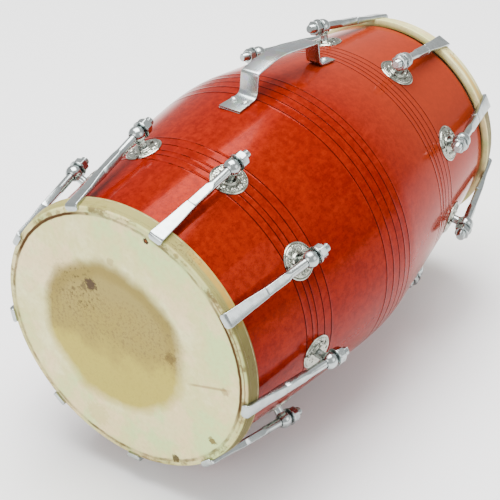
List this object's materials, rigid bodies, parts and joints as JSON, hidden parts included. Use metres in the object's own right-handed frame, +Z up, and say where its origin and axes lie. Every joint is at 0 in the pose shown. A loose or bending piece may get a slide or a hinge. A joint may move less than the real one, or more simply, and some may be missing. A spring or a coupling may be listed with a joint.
{
  "type": "dholak",
  "caption": "Barrel hand drum with a wide bass head and a narrow treble head, tensioned by forged hooks, eye bolts and nuts, with a carrying handle.",
  "frame": {"origin": "on the ground under the middle of the drum: midway between the two rows of hooks, level with the lowest nut", "axes": "+X along the drum's axis from the bass head to the treble head, +Z up through the handle"},
  "size_m": [0.4516, 0.3054, 0.3217],
  "materials": {
    "lacquered_wood": "clear gloss over red stain",
    "goat_skin": "stretched rawhide, matt",
    "tuning_paste": "dull paste",
    "iron_hoop": "bare iron",
    "pressed_rosette": "nickelled sheet",
    "galvanised_strip": "galvanised, dull bright",
    "plain_steel": "plain bright steel",
    "plated_steel": "nickel plated"
  },
  "bodies": {
    "drum": {"shell": "lacquered_wood", "bass_paste": "tuning_paste", "handle": "galvanised_strip", "handle_screws": "plain_steel", "bass_hoop": "iron_hoop", "bass_skin": "goat_skin", "bass_eye_bolts": "plated_steel", "bass_rosettes": "pressed_rosette", "bass_inner_washers": "plain_steel", "bass_inner_nuts": "plain_steel", "bass_washers": "plated_steel", "treble_hoop": "iron_hoop", "treble_skin": "goat_skin", "treble_eye_bolts": "plated_steel", "treble_rosettes": "pressed_rosette", "treble_inner_washers": "plain_steel", "treble_inner_nuts": "plain_steel", "treble_washers": "plated_steel"},
    "bass_hook_1": {"bass_hook_1": "plated_steel"},
    "bass_nut_1": {"bass_nut_1": "plated_steel"},
    "bass_hook_2": {"bass_hook_2": "plated_steel"},
    "bass_nut_2": {"bass_nut_2": "plated_steel"},
    "bass_hook_3": {"bass_hook_3": "plated_steel"},
    "bass_nut_3": {"bass_nut_3": "plated_steel"},
    "bass_hook_4": {"bass_hook_4": "plated_steel"},
    "bass_nut_4": {"bass_nut_4": "plated_steel"},
    "bass_hook_5": {"bass_hook_5": "plated_steel"},
    "bass_nut_5": {"bass_nut_5": "plated_steel"},
    "bass_hook_6": {"bass_hook_6": "plated_steel"},
    "bass_nut_6": {"bass_nut_6": "plated_steel"},
    "bass_hook_7": {"bass_hook_7": "plated_steel"},
    "bass_nut_7": {"bass_nut_7": "plated_steel"},
    "bass_hook_8": {"bass_hook_8": "plated_steel"},
    "bass_nut_8": {"bass_nut_8": "plated_steel"},
    "bass_hook_9": {"bass_hook_9": "plated_steel"},
    "bass_nut_9": {"bass_nut_9": "plated_steel"},
    "treble_hook_1": {"treble_hook_1": "plated_steel"},
    "treble_nut_1": {"treble_nut_1": "plated_steel"},
    "treble_hook_2": {"treble_hook_2": "plated_steel"},
    "treble_nut_2": {"treble_nut_2": "plated_steel"},
    "treble_hook_3": {"treble_hook_3": "plated_steel"},
    "treble_nut_3": {"treble_nut_3": "plated_steel"},
    "treble_hook_4": {"treble_hook_4": "plated_steel"},
    "treble_nut_4": {"treble_nut_4": "plated_steel"},
    "treble_hook_5": {"treble_hook_5": "plated_steel"},
    "treble_nut_5": {"treble_nut_5": "plated_steel"},
    "treble_hook_6": {"treble_hook_6": "plated_steel"},
    "treble_nut_6": {"treble_nut_6": "plated_steel"},
    "treble_hook_7": {"treble_hook_7": "plated_steel"},
    "treble_nut_7": {"treble_nut_7": "plated_steel"},
    "treble_hook_8": {"treble_hook_8": "plated_steel"},
    "treble_nut_8": {"treble_nut_8": "plated_steel"},
    "treble_hook_9": {"treble_hook_9": "plated_steel"},
    "treble_nut_9": {"treble_nut_9": "plated_steel"}
  },
  "joints": [
    {"name": "bass_nut_1_spin", "type": "hinge", "parent": "drum", "child": "bass_nut_1", "pos_m": [-0.12695, 0.12614, 0.22745], "axis": [0.9844, 0.1522, 0.0879], "range_deg": [0, 1729]},
    {"name": "bass_hook_1_slide", "type": "slide", "parent": "drum", "child": "bass_hook_1", "axis": [-0.9844, -0.1522, -0.0879], "range_m": [0, 0.006]},
    {"name": "bass_nut_2_spin", "type": "hinge", "parent": "drum", "child": "bass_nut_2", "pos_m": [-0.12695, 0.04981, 0.29149], "axis": [0.9844, 0.0601, 0.1651], "range_deg": [0, 1729]},
    {"name": "bass_hook_2_slide", "type": "slide", "parent": "drum", "child": "bass_hook_2", "axis": [-0.9844, -0.0601, -0.1651], "range_m": [0, 0.006]},
    {"name": "bass_nut_3_spin", "type": "hinge", "parent": "drum", "child": "bass_nut_3", "pos_m": [-0.12695, -0.04981, 0.29149], "axis": [0.9844, -0.0601, 0.1651], "range_deg": [0, 1729]},
    {"name": "bass_hook_3_slide", "type": "slide", "parent": "drum", "child": "bass_hook_3", "axis": [-0.9844, 0.0601, -0.1651], "range_m": [0, 0.006]},
    {"name": "bass_nut_4_spin", "type": "hinge", "parent": "drum", "child": "bass_nut_4", "pos_m": [-0.12695, -0.12614, 0.22745], "axis": [0.9844, -0.1522, 0.0879], "range_deg": [0, 1729]},
    {"name": "bass_hook_4_slide", "type": "slide", "parent": "drum", "child": "bass_hook_4", "axis": [-0.9844, 0.1522, -0.0879], "range_m": [0, 0.006]},
    {"name": "bass_nut_5_spin", "type": "hinge", "parent": "drum", "child": "bass_nut_5", "pos_m": [-0.12695, -0.14344, 0.12933], "axis": [0.9844, -0.173, -0.0305], "range_deg": [0, 1729]},
    {"name": "bass_hook_5_slide", "type": "slide", "parent": "drum", "child": "bass_hook_5", "axis": [-0.9844, 0.173, 0.0305], "range_m": [0, 0.006]},
    {"name": "bass_nut_6_spin", "type": "hinge", "parent": "drum", "child": "bass_nut_6", "pos_m": [-0.12695, -0.09362, 0.04305], "axis": [0.9844, -0.1129, -0.1346], "range_deg": [0, 1729]},
    {"name": "bass_hook_6_slide", "type": "slide", "parent": "drum", "child": "bass_hook_6", "axis": [-0.9844, 0.1129, 0.1346], "range_m": [0, 0.006]},
    {"name": "bass_nut_7_spin", "type": "hinge", "parent": "drum", "child": "bass_nut_7", "pos_m": [-0.12695, 0, 0.00897], "axis": [0.9844, 0, -0.1757], "range_deg": [0, 1729]},
    {"name": "bass_hook_7_slide", "type": "slide", "parent": "drum", "child": "bass_hook_7", "axis": [-0.9844, 0, 0.1757], "range_m": [0, 0.006]},
    {"name": "bass_nut_8_spin", "type": "hinge", "parent": "drum", "child": "bass_nut_8", "pos_m": [-0.12695, 0.09362, 0.04305], "axis": [0.9844, 0.1129, -0.1346], "range_deg": [0, 1729]},
    {"name": "bass_hook_8_slide", "type": "slide", "parent": "drum", "child": "bass_hook_8", "axis": [-0.9844, -0.1129, 0.1346], "range_m": [0, 0.006]},
    {"name": "bass_nut_9_spin", "type": "hinge", "parent": "drum", "child": "bass_nut_9", "pos_m": [-0.12695, 0.14344, 0.12933], "axis": [0.9844, 0.173, -0.0305], "range_deg": [0, 1729]},
    {"name": "bass_hook_9_slide", "type": "slide", "parent": "drum", "child": "bass_hook_9", "axis": [-0.9844, -0.173, 0.0305], "range_m": [0, 0.006]},
    {"name": "treble_nut_1_spin", "type": "hinge", "parent": "drum", "child": "treble_nut_1", "pos_m": [0.13135, 0.10649, 0.23285], "axis": [-0.9552, 0.2385, 0.1752], "range_deg": [0, 1729]},
    {"name": "treble_hook_1_slide", "type": "slide", "parent": "drum", "child": "treble_hook_1", "axis": [0.9552, -0.2385, -0.1752], "range_m": [0, 0.006]},
    {"name": "treble_nut_2_spin", "type": "hinge", "parent": "drum", "child": "treble_nut_2", "pos_m": [0.13135, 0.0313, 0.283], "axis": [-0.9552, 0.0701, 0.2875], "range_deg": [0, 1729]},
    {"name": "treble_hook_2_slide", "type": "slide", "parent": "drum", "child": "treble_hook_2", "axis": [0.9552, -0.0701, -0.2875], "range_m": [0, 0.006]},
    {"name": "treble_nut_3_spin", "type": "hinge", "parent": "drum", "child": "treble_nut_3", "pos_m": [0.13135, -0.05854, 0.27308], "axis": [-0.9552, -0.1311, 0.2653], "range_deg": [0, 1729]},
    {"name": "treble_hook_3_slide", "type": "slide", "parent": "drum", "child": "treble_hook_3", "axis": [0.9552, 0.1311, -0.2653], "range_m": [0, 0.006]},
    {"name": "treble_nut_4_spin", "type": "hinge", "parent": "drum", "child": "treble_nut_4", "pos_m": [0.13135, -0.12099, 0.20773], "axis": [-0.9552, -0.2709, 0.1189], "range_deg": [0, 1729]},
    {"name": "treble_hook_4_slide", "type": "slide", "parent": "drum", "child": "treble_hook_4", "axis": [0.9552, 0.2709, -0.1189], "range_m": [0, 0.006]},
    {"name": "treble_nut_5_spin", "type": "hinge", "parent": "drum", "child": "treble_nut_5", "pos_m": [0.13135, -0.12682, 0.11754], "axis": [-0.9552, -0.284, -0.083], "range_deg": [0, 1729]},
    {"name": "treble_hook_5_slide", "type": "slide", "parent": "drum", "child": "treble_hook_5", "axis": [0.9552, 0.284, 0.083], "range_m": [0, 0.006]},
    {"name": "treble_nut_6_spin", "type": "hinge", "parent": "drum", "child": "treble_nut_6", "pos_m": [0.13135, -0.07331, 0.04469], "axis": [-0.9552, -0.1642, -0.2462], "range_deg": [0, 1729]},
    {"name": "treble_hook_6_slide", "type": "slide", "parent": "drum", "child": "treble_hook_6", "axis": [0.9552, 0.1642, 0.2462], "range_m": [0, 0.006]},
    {"name": "treble_nut_7_spin", "type": "hinge", "parent": "drum", "child": "treble_nut_7", "pos_m": [0.13135, 0.0145, 0.02329], "axis": [-0.9552, 0.0325, -0.2941], "range_deg": [0, 1729]},
    {"name": "treble_hook_7_slide", "type": "slide", "parent": "drum", "child": "treble_hook_7", "axis": [0.9552, -0.0325, 0.2941], "range_m": [0, 0.006]},
    {"name": "treble_nut_8_spin", "type": "hinge", "parent": "drum", "child": "treble_nut_8", "pos_m": [0.13135, 0.09553, 0.06333], "axis": [-0.9552, 0.2139, -0.2044], "range_deg": [0, 1729]},
    {"name": "treble_hook_8_slide", "type": "slide", "parent": "drum", "child": "treble_hook_8", "axis": [0.9552, -0.2139, 0.2044], "range_m": [0, 0.006]},
    {"name": "treble_nut_9_spin", "type": "hinge", "parent": "drum", "child": "treble_nut_9", "pos_m": [0.13135, 0.13186, 0.1461], "axis": [-0.9552, 0.2953, -0.0191], "range_deg": [0, 1729]},
    {"name": "treble_hook_9_slide", "type": "slide", "parent": "drum", "child": "treble_hook_9", "axis": [0.9552, -0.2953, 0.0191], "range_m": [0, 0.006]}
  ],
  "couplings": [
    {"joint": "bass_nut_1_spin", "follows": "bass_hook_1_slide", "rad_per_m": 5026.5},
    {"joint": "bass_nut_2_spin", "follows": "bass_hook_2_slide", "rad_per_m": 5026.5},
    {"joint": "bass_nut_3_spin", "follows": "bass_hook_3_slide", "rad_per_m": 5026.5},
    {"joint": "bass_nut_4_spin", "follows": "bass_hook_4_slide", "rad_per_m": 5026.5},
    {"joint": "bass_nut_5_spin", "follows": "bass_hook_5_slide", "rad_per_m": 5026.5},
    {"joint": "bass_nut_6_spin", "follows": "bass_hook_6_slide", "rad_per_m": 5026.5},
    {"joint": "bass_nut_7_spin", "follows": "bass_hook_7_slide", "rad_per_m": 5026.5},
    {"joint": "bass_nut_8_spin", "follows": "bass_hook_8_slide", "rad_per_m": 5026.5},
    {"joint": "bass_nut_9_spin", "follows": "bass_hook_9_slide", "rad_per_m": 5026.5},
    {"joint": "treble_nut_1_spin", "follows": "treble_hook_1_slide", "rad_per_m": 5026.5},
    {"joint": "treble_nut_2_spin", "follows": "treble_hook_2_slide", "rad_per_m": 5026.5},
    {"joint": "treble_nut_3_spin", "follows": "treble_hook_3_slide", "rad_per_m": 5026.5},
    {"joint": "treble_nut_4_spin", "follows": "treble_hook_4_slide", "rad_per_m": 5026.5},
    {"joint": "treble_nut_5_spin", "follows": "treble_hook_5_slide", "rad_per_m": 5026.5},
    {"joint": "treble_nut_6_spin", "follows": "treble_hook_6_slide", "rad_per_m": 5026.5},
    {"joint": "treble_nut_7_spin", "follows": "treble_hook_7_slide", "rad_per_m": 5026.5},
    {"joint": "treble_nut_8_spin", "follows": "treble_hook_8_slide", "rad_per_m": 5026.5},
    {"joint": "treble_nut_9_spin", "follows": "treble_hook_9_slide", "rad_per_m": 5026.5}
  ]
}
